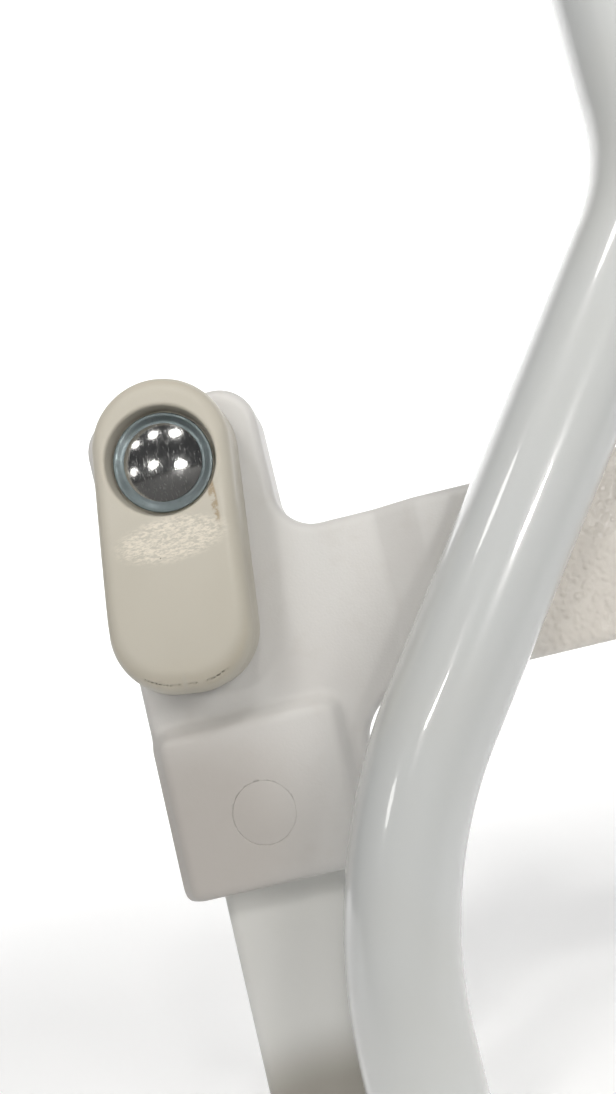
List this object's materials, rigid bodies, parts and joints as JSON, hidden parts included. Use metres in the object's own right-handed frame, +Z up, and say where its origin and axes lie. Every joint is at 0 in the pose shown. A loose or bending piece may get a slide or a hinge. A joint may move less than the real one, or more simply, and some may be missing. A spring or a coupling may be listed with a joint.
{
  "type": "stair gate latch",
  "caption": "Moulded gate latch with a hanging side lever, a sprung bolt in its arm, a rectangular post stub and a bent round gate tube.",
  "frame": {"origin": "centre of the post's closed lower end face", "axes": "+Z up along the post, -Y is the front with the lever, +X towards the bolt's end of the arm"},
  "size_m": [0.1531, 0.0564, 0.255],
  "materials": {
    "white_moulding": "fine textured semi-matt white",
    "cream_moulding": "satin cream, yellowed",
    "white_paint": "gloss white powder coat",
    "post_paint": "semi-gloss white powder coat",
    "zinc": "blue zinc plate",
    "bright_steel": "bright, finely scratched",
    "steel": "plain zinc-plated steel",
    "nylon": "natural nylon"
  },
  "bodies": {
    "frame": {"post_tube": "post_paint", "post_foot_plug": "nylon", "housing_front": "white_moulding", "housing_rear": "white_moulding", "bolt_guide_cap": "white_moulding", "cover_screw_1": "steel", "cover_screw_2": "steel", "cover_screw_3": "steel", "cover_screw_4": "steel", "cover_screw_5": "steel", "cover_screw_6": "steel", "cover_screw_7": "steel", "cover_screw_8": "steel", "post_clamp_bolt": "steel", "post_clamp_nut": "steel", "pad_cover_plug": "white_moulding", "spindle_bush_front": "nylon", "spindle_bush_rear": "nylon", "bolt_spring": "bright_steel", "gate_tube": "white_paint", "tube_plug_top": "nylon", "tube_plug_bottom": "nylon", "tube_saddle": "nylon", "tube_insert_upper": "zinc", "tube_insert_lower": "zinc", "tube_screw_upper": "steel", "tube_screw_lower": "steel"},
    "lever": {"lever_shell": "cream_moulding", "retainer_ring": "zinc", "retainer_dome": "bright_steel", "spindle": "steel", "crank": "steel", "crank_pin": "steel", "crank_spacer": "nylon"},
    "bolt": {"latch_bolt": "steel", "spring_guide_pin": "steel"}
  },
  "joints": [
    {"name": "lever_turn", "type": "hinge", "parent": "frame", "child": "lever", "pos_m": [-0.0026, -0.01, 0.16], "axis": [0, 1, 0], "range_deg": [0, 25.36], "stiffness_Nm_per_rad": 0.66, "springref_deg": -8.45},
    {"name": "bolt_slide", "type": "slide", "parent": "frame", "child": "bolt", "axis": [-1, 0, 0], "range_m": [0, 0.01801], "deforming": ["bolt_spring"]}
  ],
  "couplings": [
    {"joint": "bolt_slide", "follows": "lever_turn", "m_per_rad": 0.040667}
  ]
}
